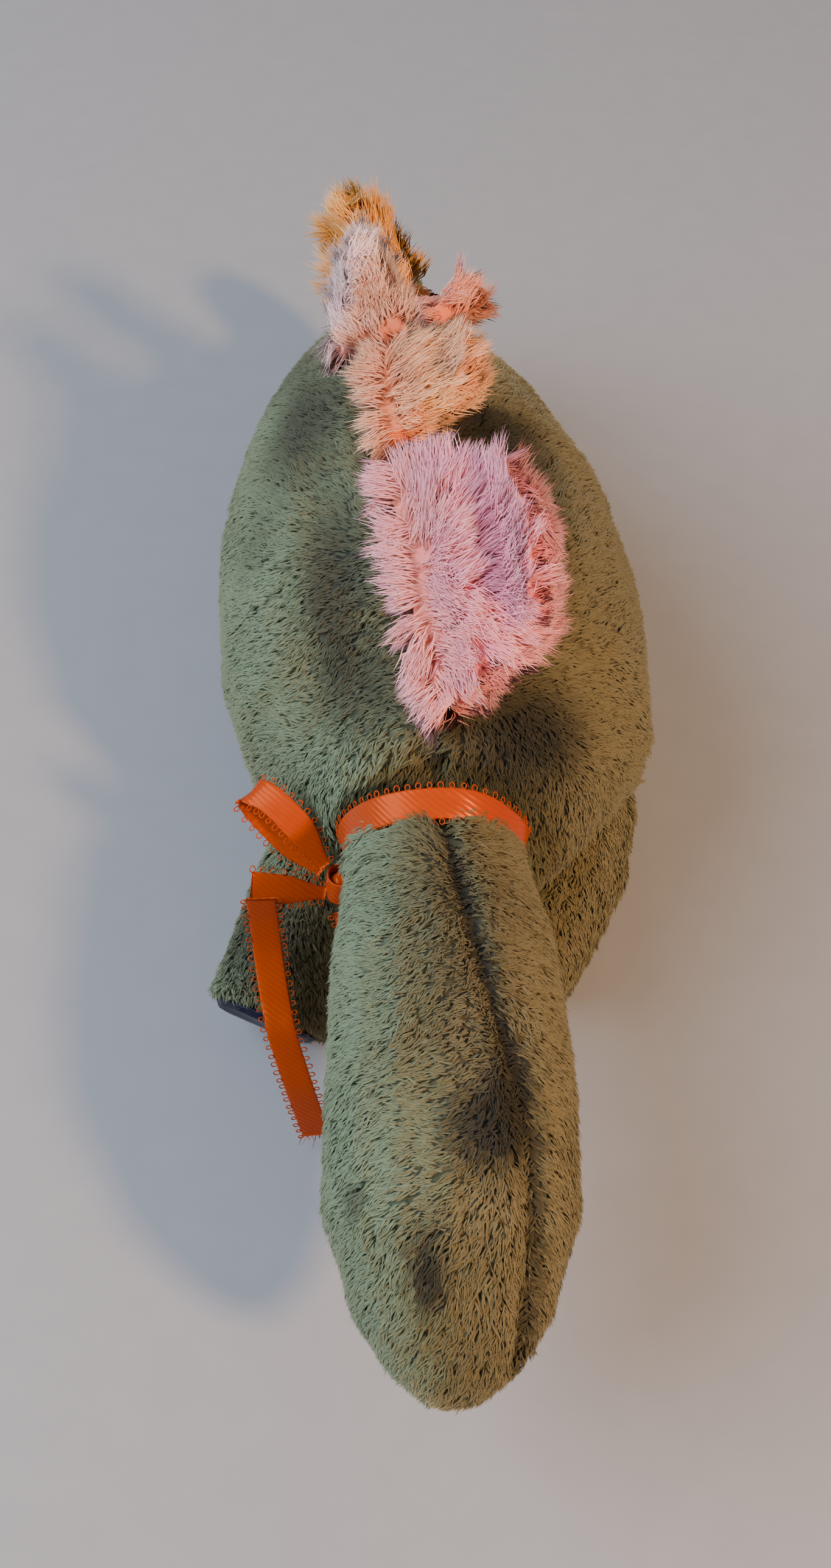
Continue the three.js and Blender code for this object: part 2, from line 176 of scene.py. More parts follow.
def soft_skin(name, nodes, voxel, rounds):
    """One smooth closed mesh round several CAD nodes."""
    points, triangles = joined(nodes)
    rough = new_piece(name + "_rough", points, [triangles])
    remesh = rough.modifiers.new("Remesh", "REMESH")
    remesh.mode = "VOXEL"
    remesh.voxel_size = voxel
    depsgraph = bpy.context.evaluated_depsgraph_get()
    mesh = bpy.data.meshes.new_from_object(rough.evaluated_get(depsgraph))
    bpy.data.objects.remove(rough)
    points, _, _ = arrays_of(mesh)
    edges = np.zeros(len(mesh.edges) * 2, np.int32)
    mesh.edges.foreach_get("vertices", edges)
    points = relaxed(points, edges.reshape(-1, 2), rounds)
    mesh.vertices.foreach_set("co", points.astype(np.float32).ravel())
    mesh.update()
    mesh.shade_smooth()
    mesh.name = name
    mesh.materials.clear()
    skin = bpy.data.objects.new(name, mesh)
    bpy.context.scene.collection.objects.link(skin)
    return skin


def distance_to(points, nodes, reach):
    """Each point's distance to the nearest of these CAD nodes, and no more than reach."""
    p, t = joined(nodes)
    tree = BVHTree.FromPolygons(p.tolist(), t.tolist())
    found = (tree.find_nearest(point, reach)[3] for point in points.tolist())
    return np.array([reach if d is None else d for d in found])


def seam_distance(points, seam):
    """Distance in plan from points to a seam, in metres, and which side of it they lie on."""
    line = (np.asarray(seam, float) + SHIFT[:2]) * MM
    best = np.full(len(points), 1.0)
    side = np.zeros(len(points))
    for a, b in zip(line[:-1], line[1:]):
        along = b - a
        t = np.clip(((points[:, :2] - a) @ along) / (along @ along), 0, 1)
        gap = points[:, :2] - a - t[:, None] * along
        far = np.linalg.norm(gap, axis=1)
        nearer = far < best
        best = np.where(nearer, far, best)
        side = np.where(nearer, np.sign(gap[:, 0]), side)
    return best, side


def soft_noise(points, size, seed):
    """Smooth noise from -1 to 1, with features of this size in metres."""
    table = np.random.default_rng(seed).uniform(-1, 1, 4096)
    scaled = points / size
    cell = np.floor(scaled).astype(np.int64)
    f = scaled - cell
    f = f * f * (3 - 2 * f)
    total = np.zeros(len(points))
    for corner in range(8):
        step = np.array([corner & 1, corner >> 1 & 1, corner >> 2 & 1])
        x, y, z = (cell + step).T
        weight = np.prod(np.where(step, f, 1 - f), axis=1)
        total += weight * table[(x * 73856093 ^ y * 19349663 ^ z * 83492791) & 4095]
    return total


def dye_and_shade_at(points):
    """How dark each point is from the patch table, partly dye and partly painted shade, from 0 to 1."""
    total = np.zeros(len(points))
    for x, y, z, rx, ry, rz, strength in DYE_AND_SHADE:
        away = (points - row((x, y, z))) / (np.array([rx, ry, rz]) * MM)
        total += strength * np.exp(-np.sum(away**2, axis=1) ** 1.6)
    return np.clip(total, 0, 1)


def keep_attributes(mesh, rest, tint):
    """Stores what the plush materials read: the place at rest, and flank, darkness and strand height; the
    flank colour is partly painted light, the darkness partly painted shade, and strand height sets painted
    shade at the roots.
    """
    for name, values in (("rest", rest), ("tint", tint)):
        attribute = mesh.attributes.new(name, "FLOAT_VECTOR", "POINT")
        attribute.data.foreach_set("vector", np.asarray(values, np.float32).ravel())


# Pile: each strand is a closed spindle of six triangles, rooted below the cloth.

STRAND_FACES = np.array([[0, 2, 1], [0, 3, 2], [0, 1, 3], [4, 1, 2], [4, 2, 3], [4, 3, 1]])
STRAND_MAP = np.array([[0.5, 0.08], [0.1, 0.45], [0.9, 0.45], [0.5, 0.55], [0.5, 0.92]])
STRAND_HEIGHTS = np.array([0, 0.5, 0.5, 0.62, 1.0])
STRANDS_A_PIECE = 32000
LOWEST_STRAND = 0.0003


def tangents(vectors, normals):
    """These vectors laid flat on the surface, at unit length."""
    return unit(vectors - np.sum(vectors * normals, axis=1, keepdims=True) * normals)


def grow_pile(skin, name, body, material, comb, tint_of, furry, look, seed):
    """Grows tufts of strands on a skin.

    comb gives the way the pile lies, tint_of its colour marks, and furry how much of it each point of
    the skin carries. look holds sizes in metres, angles in degrees and areas in square metres.
    """
    rng = np.random.default_rng(seed)
    points, normals, triangles = arrays_of(skin.data)
    corner = points[triangles]
    area = np.cross(corner[:, 1] - corner[:, 0], corner[:, 2] - corner[:, 0])
    area = 0.5 * np.linalg.norm(area, axis=1)
    area = area * furry[triangles].mean(axis=1)
    # Many more places than are needed, of which one in each small cell is kept, so tufts are evenly set.
    many = int(4 * area.sum() / look["tuft_area"])
    chosen = np.searchsorted(np.cumsum(area), rng.uniform(0, area.sum(), many))
    chosen = np.minimum(chosen, len(area) - 1)
    mix = rng.dirichlet((1, 1, 1), many)[..., None]
    middle = (corner[chosen] * mix).sum(axis=1)
    cells = np.floor(middle / math.sqrt(1.5 * look["tuft_area"])).astype(np.int64)
    kept = np.unique(cells @ np.array([1, 4096, 4096 * 4096]), return_index=True)[1]
    middle = middle[kept]
    up = unit((normals[triangles[chosen[kept]]] * mix[kept]).sum(axis=1))
    tufts = len(kept)
    lie = tangents(comb(middle, up), up)
    across = np.cross(up, lie)
    turn = np.radians(look["swirl"]) * soft_noise(middle, look["swirl_size"], seed + 1)[:, None]
    turn = turn + np.radians(look["stray"]) * rng.normal(size=(tufts, 1))
    lie = lie * np.cos(turn) + across * np.sin(turn)
    across = np.cross(up, lie)
    length = look["length"] * (1 + 0.22 * soft_noise(middle, 3 * look["swirl_size"], seed + 2))
    length = (length * rng.uniform(0.8, 1.15, tufts))[:, None]
    rise, fall = (math.radians(a) for a in look["lift"])

    def bent(root, lean, size):
        mid = root + 0.45 * size * (lean * math.cos(rise) + up_ * math.sin(rise))
        return mid, mid + 0.55 * size * (lean * math.cos(fall) + up_ * math.sin(fall))

    strands = look["strands"]
    up_, lie_, across_, length_ = (np.repeat(a, strands, axis=0) for a in (up, lie, across, length))
    centre = np.repeat(middle, strands, axis=0)
    total = len(centre)
    spread = look["spread"] * rng.normal(size=(total, 2))
    root = centre + lie_ * spread[:, :1] + across_ * spread[:, 1:] - up_ * look["sunk"]
    skew = np.radians(look["skew"]) * rng.normal(size=(total, 1))
    lean = lie_ * np.cos(skew) + across_ * np.sin(skew)
    size = length_ * rng.uniform(0.75, 1.1, (total, 1))
    mid, tip = bent(root, lean, size)
    tuft_tip = bent(centre, lie_, length_)[1]
    tip = tip + look["gather"] * (tuft_tip - tip) + 0.06 * length_ * rng.normal(size=(total, 3))
    roll = rng.uniform(-0.6, 0.6, (total, 1))
    flat = unit(np.cross(unit(tip - root), up_)) * np.cos(roll) + up_ * np.sin(roll)
    flat = flat * look["width"] * rng.uniform(0.35, 0.6, (total, 1))
    places = np.stack([root, mid + flat, mid - flat, mid + up_ * look["width"] * 0.28, tip], axis=1)
    facing = unit(up_ + 0.3 * unit(flat) * rng.uniform(-1, 1, (total, 1)))
    facing = np.stack([facing, unit(facing + 0.35 * unit(flat)), unit(facing - 0.35 * unit(flat)),
                       facing, unit(facing + 0.4 * lean)], axis=1)
    places[..., 2] = np.maximum(places[..., 2], LOWEST_STRAND)
    marks = np.repeat(tint_of(middle, up), strands, axis=0)
    shade = np.clip(rng.normal(0, 0.12, (total, 1)), -0.3, 0.3)

    for part, first in enumerate(range(0, total, STRANDS_A_PIECE)):
        last = min(first + STRANDS_A_PIECE, total)
        n = last - first
        faces = (STRAND_FACES[None] + 5 * np.arange(n)[:, None, None]).reshape(-1, 3)
        label = f"{name}_{part + 1}" if total > STRANDS_A_PIECE else name
        pile = new_piece(label, places[first:last].reshape(-1, 3), [faces], material)
        tint = np.zeros((n, 5, 3))
        tint[..., 0] = marks[first:last, 0, None] + shade[first:last]
        tint[..., 1] = marks[first:last, 1, None]
        tint[..., 2] = STRAND_HEIGHTS
        rest = np.repeat(root[first:last, None], 5, axis=1)
        keep_attributes(pile.data, rest.reshape(-1, 3), tint.reshape(-1, 3))
        pile.data.normals_split_custom_set_from_vertices(facing[first:last].reshape(-1, 3).tolist())
        across_count = math.ceil(math.sqrt(n))
        cell = np.stack([np.arange(n) % across_count, np.arange(n) // across_count], axis=1)
        layer = pile.data.uv_layers.new(name="OFBake")
        spots = (cell[:, None] + STRAND_MAP[STRAND_FACES.ravel()][None]) / across_count
        layer.data.foreach_set("uv", spots.astype(np.float32).ravel())
        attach(pile, body)


# Materials

# The colour sockets of a mix node, whose names are shared with its other sorts of data.
MIX_FIRST, MIX_SECOND, MIX_RESULT = 6, 7, 2


def linear(hex_colour):
    """An sRGB hex colour as linear red, green, blue and alpha."""
    parts = [int(hex_colour[i:i + 2], 16) / 255 for i in (1, 3, 5)]
    return [c / 12.92 if c <= 0.04045 else ((c + 0.055) / 1.055) ** 2.4 for c in parts] + [1.0]


def add_node(tree, kind, settings=None, links=None):
    """Adds a node, with its settings, and its inputs as values or as other nodes' sockets."""
    made = tree.nodes.new(kind)
    for key, value in (settings or {}).items():
        if key == "stops":
            ramp = made.color_ramp
            while len(ramp.elements) < len(value):
                ramp.elements.new(1.0)
            for element, (place, colour) in zip(ramp.elements, value):
                element.position = place
                element.color = colour
        else:
            setattr(made, key, value)
    for key, value in (links or {}).items():
        if isinstance(value, bpy.types.NodeSocket):
            tree.links.new(value, made.inputs[key])
        else:
            made.inputs[key].default_value = value
    return made


def new_material(name):
    """An empty material and its node tree."""
    made = bpy.data.materials.new(name)
    made.use_nodes = True
    made.node_tree.nodes.clear()
    return made, made.node_tree


def finish_material(tree, colour, bump=None, **shader):
    """Joins a colour and an optional bump to the shader, whose other values are the same all over."""
    inputs = {"Base Color": colour, **{k.replace("_", " "): v for k, v in shader.items()}}
    if bump:
        inputs["Normal"] = bump.outputs["Normal"]
    surface = add_node(tree, "ShaderNodeBsdfPrincipled", None, inputs)
    add_node(tree, "ShaderNodeOutputMaterial", None, {"Surface": surface.outputs["BSDF"]})


def plush_marks(tree):
    """The place at rest, and the sockets X, Y, Z of flank (its colour partly painted light), darkness from
    dye and painted shade, and strand height.
    """
    rest = add_node(tree, "ShaderNodeAttribute", {"attribute_name": "rest"}).outputs["Vector"]
    tint = add_node(tree, "ShaderNodeAttribute", {"attribute_name": "tint"}).outputs["Vector"]
    return rest, add_node(tree, "ShaderNodeSeparateXYZ", None, {"Vector": tint}).outputs


def blended(tree, factor, first, second, **settings):
    """Two colours blended by a factor."""
    return add_node(tree, "ShaderNodeMix", {"data_type": "RGBA", **settings},
                    {"Factor": factor, MIX_FIRST: first, MIX_SECOND: second}).outputs[MIX_RESULT]


def mottled(tree, colour, shade, **noise):
    """A mottle of two colours over the piece, and the noise that sets it."""
    place = add_node(tree, "ShaderNodeTexCoord").outputs["Object"]
    mottle = add_node(tree, "ShaderNodeTexNoise", None, {"Vector": place, **noise}).outputs["Fac"]
    return blended(tree, mottle, linear(colour), linear(shade)), mottle


def knitted_plush(name, right, top, left, dark, root):
    """Polyester plush, warp-knitted and combed: roots darkened with painted shade, a soft sheen on the tips,
    and a colour that varies from mint on one flank through olive to tan on the other, partly dye and partly
    painted cool and warm light."""
    made, tree = new_material(name)
    rest, parts = plush_marks(tree)
    # Dye clouds are about 30 mm across, and single tufts about 3 mm.
    clouds = add_node(tree, "ShaderNodeTexNoise", None, {"Vector": rest, "Scale": 33.0, "Detail": 3.0})
    tufts = add_node(tree, "ShaderNodeTexNoise", None, {"Vector": rest, "Scale": 330.0, "Detail": 2.0})
    place = add_node(tree, "ShaderNodeMapRange", None,
                     {"Value": parts["X"], "From Min": -1.0, "From Max": 1.0}).outputs["Result"]
    drift = add_node(tree, "ShaderNodeMath", {"operation": "MULTIPLY_ADD"},
                     {0: clouds.outputs["Fac"], 1: 0.5, 2: -0.25}).outputs["Value"]
    place = add_node(tree, "ShaderNodeMath", {"operation": "ADD"}, {0: place, 1: drift}).outputs["Value"]
    # The flank ramp runs mint, olive, tan: partly dye, partly painted light, cool on the toy's right and
    # warm on its left.
    flank = add_node(tree, "ShaderNodeValToRGB",
                     {"stops": [(0.12, linear(right)), (0.5, linear(top)), (0.88, linear(left))]},
                     {"Fac": place}).outputs["Color"]
    # Dark patches, from dye and from painted shade beside the crest, under the bow and along the seams.
    patch = add_node(tree, "ShaderNodeMath", {"operation": "MULTIPLY_ADD", "use_clamp": True},
                     {0: tufts.outputs["Fac"], 1: 0.35, 2: -0.17}).outputs["Value"]
    patch = add_node(tree, "ShaderNodeMath", {"operation": "ADD", "use_clamp": True},
                     {0: parts["Y"], 1: patch}).outputs["Value"]
    dyed_and_shaded = blended(tree, patch, flank, linear(dark))
    # Painted shade deep in the pile: the roots, and the bare cloth below them, are darkened towards grey.
    depth = add_node(tree, "ShaderNodeValToRGB",
                     {"stops": [(0.0, linear(root)), (0.45, (0.64, 0.64, 0.6, 1)), (1.0, (1, 1, 1, 1))]},
                     {"Fac": parts["Z"]}).outputs["Color"]
    colour = blended(tree, 1.0, dyed_and_shaded, depth, blend_type="MULTIPLY")
    bump = add_node(tree, "ShaderNodeBump", None,
                    {"Strength": 0.4, "Distance": 0.0006, "Height": tufts.outputs["Fac"]})
    finish_material(tree, colour, bump, Roughness=0.85, Sheen_Weight=0.3, Sheen_Roughness=0.4,
                    Sheen_Tint=linear("#d9cf9c"), IOR=1.5)
    return made


def long_pile_plush(name, tips, body, edge, fold):
    """Long polyester fur, brushed: pale tips over a stronger ground colour, with a silky sheen."""
    made, tree = new_material(name)
    rest, parts = plush_marks(tree)
    locks = add_node(tree, "ShaderNodeTexNoise", None, {"Vector": rest, "Scale": 120.0, "Detail": 3.0})
    drift = add_node(tree, "ShaderNodeMath", {"operation": "MULTIPLY_ADD"},
                     {0: locks.outputs["Fac"], 1: 0.9, 2: -0.45}).outputs["Value"]
    place = add_node(tree, "ShaderNodeMath", {"operation": "ADD", "use_clamp": True},
                     {0: parts["X"], 1: drift}).outputs["Value"]
    ground = blended(tree, place, linear(edge), linear(body))
    ground = blended(tree, parts["Y"], ground, linear(fold))
    stops = [(height, (share, share, share, 1)) for height, share in ((0.0, 0.0), (0.55, 0.3), (1.0, 0.85))]
    rooted = add_node(tree, "ShaderNodeValToRGB", {"stops": stops}, {"Fac": parts["Z"]}).outputs["Color"]
    colour = blended(tree, rooted, ground, linear(tips))
    bump = add_node(tree, "ShaderNodeBump", None,
                    {"Strength": 0.3, "Distance": 0.0008, "Height": locks.outputs["Fac"]})
    finish_material(tree, colour, bump, Roughness=0.7, Subsurface_Weight=0.25, Subsurface_Scale=0.001,
                    Subsurface_Radius=(3.0, 1.6, 1.3), Sheen_Weight=0.35, Sheen_Roughness=0.35,
                    Sheen_Tint=linear(tips), Specular_IOR_Level=0.3, IOR=1.5)
    return made


def woven_satin(name, colour, shade, roughness, gloss):
    """Polyester satin: long floats that catch the light in a fine twill, with a soft gloss."""
    made, tree = new_material(name)
    place = add_node(tree, "ShaderNodeTexCoord").outputs["Object"]
    # Twill lines are 0.25 mm apart in real satin, and drawn at 0.5 mm so that they show.
    twill = add_node(tree, "ShaderNodeTexWave", {"bands_direction": "DIAGONAL"},
                     {"Vector": place, "Scale": 320.0, "Distortion": 1.5, "Detail": 1.0})
    folds = add_node(tree, "ShaderNodeTexNoise", None, {"Vector": place, "Scale": 160.0, "Detail": 2.0})
    blend = add_node(tree, "ShaderNodeMath", {"operation": "MULTIPLY_ADD", "use_clamp": True},
                     {0: twill.outputs["Fac"], 1: 0.22, 2: 0.12}).outputs["Value"]
    blend = add_node(tree, "ShaderNodeMath", {"operation": "MULTIPLY"},
                     {0: blend, 1: folds.outputs["Fac"]}).outputs["Value"]
    mixed = blended(tree, blend, linear(colour), linear(shade))
    bump = add_node(tree, "ShaderNodeBump", None,
                    {"Strength": 0.4, "Distance": 0.00015, "Height": twill.outputs["Fac"]})
    finish_material(tree, mixed, bump, Roughness=roughness, IOR=1.5, Anisotropic=0.5, Specular_IOR_Level=0.6,
                    Specular_Tint=linear(gloss))
    return made


def loose_fibre(name, colour, shade):
    """Hollow polyester fibre, carded: a white matt tangle."""
    made, tree = new_material(name)
    mixed, tangle = mottled(tree, colour, shade, Scale=260.0, Detail=6.0, Distortion=2.0)
    bump = add_node(tree, "ShaderNodeBump", None, {"Strength": 0.8, "Distance": 0.001, "Height": tangle})
    finish_material(tree, mixed, bump, Roughness=0.95, IOR=1.5)
    return made


def moulded_plastic(name, colour, shade, roughness):
    """Injection-moulded ABS: an even colour with very faint flow marks."""
    made, tree = new_material(name)
    mixed, _ = mottled(tree, colour, shade, Scale=400.0, Detail=2.0)
    finish_material(tree, mixed, None, Roughness=roughness, IOR=1.54)
    return made


def table_laminate(name, colour, shade):
    """Melamine laminate, hot-pressed: a pale even top with a faint mottle."""
    made, tree = new_material(name)
    mixed, mottle = mottled(tree, colour, shade, Scale=90.0, Detail=4.0)
    bump = add_node(tree, "ShaderNodeBump", None, {"Strength": 0.05, "Distance": 0.0002, "Height": mottle})
    finish_material(tree, mixed, bump, Roughness=0.6, IOR=1.5)
    return made


def material_named(name, maker, *values):
    """The material of this name, made the first time it is asked for."""
    return bpy.data.materials.get(name) or maker(name, *values)


def green_plush(settings):
    """The plush of the body, head, tail and legs."""
    return material_named("knitted_plush_green", knitted_plush, settings.right_flank_cool_lit, settings.top,
                          settings.left_flank_warm_lit, settings.dye, settings.root)


def ribbon_satin(settings):
    """The satin of the bow."""
    return material_named("woven_satin_orange", woven_satin, settings.colour, settings.shade, 0.3, "#ff8a4a")


# Settings


class StageSettings(bpy.types.PropertyGroup):
    view_angle: FloatProperty(name="View angle", description="Upright angle of the camera's view",
                              default=math.radians(55), subtype="ANGLE")
    main_power: FloatProperty(name="Main light", description="Power of the warm light", default=27.0, min=0)
    fill_power: FloatProperty(name="Fill light", description="Power of the cool light", default=40.0, min=0)
    table: StringProperty(name="Table colour", description="Colour of the table top", default="#94918e")


class PlushSettings(bpy.types.PropertyGroup):
    pile_length: FloatProperty(name="Pile length", description="Length of the body's pile", default=0.0038,
                               unit="LENGTH")
    tuft_area: FloatProperty(name="Tuft area", description="Cloth area for each tuft, in square mm",
                             default=2.4, min=0.5)
    # The toy's right flank takes mint: partly dye, partly painted cool light.
    right_flank_cool_lit: StringProperty(name="Right flank", description="Colour at the toy's right",
                                default="#788462")
    top: StringProperty(name="Top", description="Colour along the top", default="#6a5c33")
    # The toy's left flank takes tan: partly dye, partly painted warm light.
    left_flank_warm_lit: StringProperty(name="Left flank", description="Colour at the toy's left",
                               default="#7a6f4e")
    # This one dark colour serves the dye patches and the painted shade alike.
    dye: StringProperty(name="Dark dye", description="Colour where the dye is darkest", default="#241f0c")
    root: StringProperty(name="Roots", description="Shade at the roots of the pile", default="#595748")


class CrestSettings(bpy.types.PropertyGroup):
    pile_length: FloatProperty(name="Pile length", description="Length of the crest's pile", default=0.0095,
                               unit="LENGTH")
    strands: IntProperty(name="Strands", description="Strands in each tuft", default=34, min=4)


class RibbonSettings(bpy.types.PropertyGroup):
    width: FloatProperty(name="Width", description="Width of the ribbon", default=0.007, unit="LENGTH")
    thickness: FloatProperty(name="Thickness", description="Thickness of the ribbon", default=0.00035,
                             unit="LENGTH")
    picot_pitch: FloatProperty(name="Picot pitch", description="Spacing of the edge loops", default=0.0026,
                               unit="LENGTH")
    colour: StringProperty(name="Colour", description="Colour of the satin", default="#a83a0b")
    shade: StringProperty(name="Shade", description="Colour between the floats", default="#7e2105")


# Stage


CAMERA_PLACE = (-7, -234.6, 376.3)
CAMERA_TILT = math.radians(57)
# The table top is square, reaches this far each way and has this many points a side.
TABLE_REACH = 2.4
TABLE_POINTS = 24
TABLE_LEVEL = -0.0004


class AddStage(bpy.types.Operator):
    """Adds the camera, the lights and the table top"""

    bl_idname = "dinosaur.add_stage"
    bl_label = "Add stage"

    def execute(self, context):
        settings = context.scene.dinosaur_stage
        data = bpy.data.cameras.new("Camera")
        data.sensor_fit = "VERTICAL"
        data.angle = settings.view_angle
        data.clip_start = 0.01
        camera = bpy.data.objects.new("Camera", data)
        camera.location = row(CAMERA_PLACE)
        camera.rotation_euler = (math.pi / 2 - CAMERA_TILT, 0, 0)
        context.scene.collection.objects.link(camera)
        context.scene.camera = camera

        def lamp(name, place, size, power, colour):
            light = bpy.data.lights.new(name, "AREA")
            light.shape = "DISK"
            light.size = size
            light.energy = power
            light.color = linear(colour)[:3]
            holder = bpy.data.objects.new(name, light)
            holder.location = place
            aim = Vector((0, 0.02, 0.04)) - Vector(place)
            holder.rotation_euler = aim.to_track_quat("-Z", "Y").to_euler()
            context.scene.collection.objects.link(holder)

        lamp("Warm main light", (0.82, -0.72, 0.98), 0.16, settings.main_power, "#ffcf9c")
        lamp("Cool fill light", (-1.0, -0.15, 1.05), 1.3, settings.fill_power, "#d3e4ff")
        world = context.scene.world or bpy.data.worlds.new("World")
        context.scene.world = world
        world.use_nodes = True
        background = world.node_tree.nodes["Background"]
        background.inputs["Color"].default_value = linear("#d9dde6")
        background.inputs["Strength"].default_value = 0.52

        n = TABLE_POINTS
        lines = np.linspace(-TABLE_REACH, TABLE_REACH, n)
        grid = np.stack(np.meshgrid(lines, lines, indexing="ij"), -1)
        points = np.concatenate([grid.reshape(-1, 2), np.full((n * n, 1), TABLE_LEVEL)], axis=1)
        a = (np.arange(n - 1)[:, None] * n + np.arange(n - 1)).ravel()
        table = new_piece("table_top", points, [np.stack([a, a + n, a + n + 1, a + 1], axis=1)],
                          material_named("melamine_table", table_laminate, settings.table, "#8d8a88"))
        return {"FINISHED"}


# Ribbon


ROUTE_STEP = 0.0008
# Where a ribbon is drawn into the knot it keeps this share of its width, and is full again this far on.
DRAWN_IN = 0.42
DRAWN_LENGTH = 0.011
# Picots: the loops' radius, their thread's radius, how far out they stand, and points round each.
PICOT_SIZE, PICOT_THREAD, PICOT_OUT = 0.0007, 0.00016, 0.00062
PICOT_AROUND, PICOT_SIDES = 10, 5


def smooth_route(points, step=ROUTE_STEP, closed=False):
    """An even row of points on a smooth curve through these, a step apart."""
    given = np.asarray(points, float)
    if closed:
        before, after = given[-1:], given[:2]
    else:
        before, after = 2 * given[:1] - given[1:2], 2 * given[-1:] - given[-2:-1]
    knots = np.concatenate([before, given, after])
    rows = []
    for p0, p1, p2, p3 in zip(knots, knots[1:], knots[2:], knots[3:]):
        t = np.linspace(0, 1, 24, endpoint=False)[:, None]
        rows.append(0.5 * (2 * p1 + (p2 - p0) * t + (2 * p0 - 5 * p1 + 4 * p2 - p3) * t**2
                           + (3 * p1 - p0 - 3 * p2 + p3) * t**3))
    dense = np.concatenate(rows + ([rows[0][:1]] if closed else [given[-1:]]))
    run = np.concatenate([[0], np.cumsum(np.linalg.norm(np.diff(dense, axis=0), axis=1))])
    count = max(8, int(run[-1] / step))
    even = np.linspace(0, run[-1], count + 1)
    line = np.stack([np.interp(even, run, dense[:, k]) for k in range(3)], axis=1)
    return (line[:-1], run[-1]) if closed else (line, run[-1])


def frame_of(line, across, closed):
    """Width and thickness directions along a route."""
    if closed:
        along = unit(np.roll(line, -1, axis=0) - np.roll(line, 1, axis=0))
    else:
        along = unit(np.gradient(line, axis=0))
    wide = tangents(np.broadcast_to(np.asarray(across, float), line.shape), along)
    return along, wide, np.cross(along, wide)


def gathered(line, ends):
    """How much of its width a ribbon keeps along a route whose named ends are drawn into the knot."""
    run = np.concatenate([[0], np.cumsum(np.linalg.norm(np.diff(line, axis=0), axis=1))])
    keep = np.ones(len(line))
    for end in ends:
        far = run if end == "first" else run[-1] - run
        t = np.clip(far / DRAWN_LENGTH, 0, 1)
        keep = np.minimum(keep, DRAWN_IN + (1 - DRAWN_IN) * t * t * (3 - 2 * t))
    return keep


def ribbon_strip(name, line, across, settings, closed=False, wave=0.0, ends=()):
    """A woven ribbon along a route: a flat strip with thicker woven edges and a slight crown."""
    _, wide, thick = frame_of(line, across, closed)
    wide = wide * gathered(line, ends)[:, None]
    columns = np.array([-1, -0.9, -0.5, 0, 0.5, 0.9, 1])
    crown = np.array([0.0, 0.00012, 0.0001, 0.00018, 0.0001, 0.00012, 0.0])
    n, m = len(line), len(columns)
    sway = wave * np.sin(np.arange(n) * ROUTE_STEP / 0.009)[:, None] * thick
    top = (line + sway)[:, None] + wide[:, None] * (columns * settings.width / 2)[None, :, None]
    top = top + thick[:, None] * (crown + settings.thickness / 2)[None, :, None]
    bottom = top - thick[:, None] * (2 * crown + settings.thickness)[None, :, None]
    ring = np.concatenate([top, bottom[:, ::-1]], axis=1)
    sides = 2 * m
    i = np.arange(n if closed else n - 1)[:, None] * sides
    j = np.arange(sides)[None]
    after = (i + sides) % (n * sides)
    beside = (j + 1) % sides
    quads = np.stack([i + j, after + j, after + beside, i + beside], axis=-1).reshape(-1, 4)
    faces = [quads[:, ::-1]]
    if not closed:
        k = np.arange(m - 1)
        cap = np.stack([k, k + 1, sides - 2 - k, sides - 1 - k], axis=1)
        faces += [cap, cap[:, ::-1] + (n - 1) * sides]
    return new_piece(name, ring.reshape(-1, 3), faces, ribbon_satin(settings))


def picot_loops(name, line, across, settings, closed=False, ends=()):
    """The small thread loops along both edges of a ribbon."""
    along, wide, thick = frame_of(line, across, closed)
    keep = gathered(line, ends)
    every = max(1, round(settings.picot_pitch / ROUTE_STEP))
    at = np.arange(every // 2, len(line), every)
    turn = np.linspace(0, 2 * np.pi, PICOT_AROUND, endpoint=False)
    tube = np.linspace(0, 2 * np.pi, PICOT_SIDES, endpoint=False)
    points, faces, count = [], [], 0
    a, b = np.meshgrid(np.arange(PICOT_AROUND), np.arange(PICOT_SIDES), indexing="ij")
    here, after = a * PICOT_SIDES, (a + 1) % PICOT_AROUND * PICOT_SIDES
    beside = (b + 1) % PICOT_SIDES
    quads = np.stack([here + b, after + b, after + beside, here + beside], axis=-1).reshape(-1, 4)
    rng = np.random.default_rng(len(line))
    for edge in (-1, 1):
        for k in at:
            out, up, on = edge * wide[k], thick[k], along[k]
            size = PICOT_SIZE * rng.uniform(0.85, 1.15)
            centre = line[k] + out * (keep[k] * settings.width / 2 + PICOT_OUT)
            centre = centre + up * rng.uniform(-1, 1) * 0.0003
            arm = np.cos(turn)[:, None] * out + 0.85 * np.sin(turn)[:, None] * on
            ring = centre + size * arm
            skin = ring[:, None] + PICOT_THREAD * (np.cos(tube)[None, :, None] * arm[:, None]
                                                   + np.sin(tube)[None, :, None] * up)
            points.append(skin.reshape(-1, 3))
            faces.append(quads + count)
            count += PICOT_AROUND * PICOT_SIDES
    return new_piece(name, np.concatenate(points), [np.concatenate(faces)], ribbon_satin(settings))


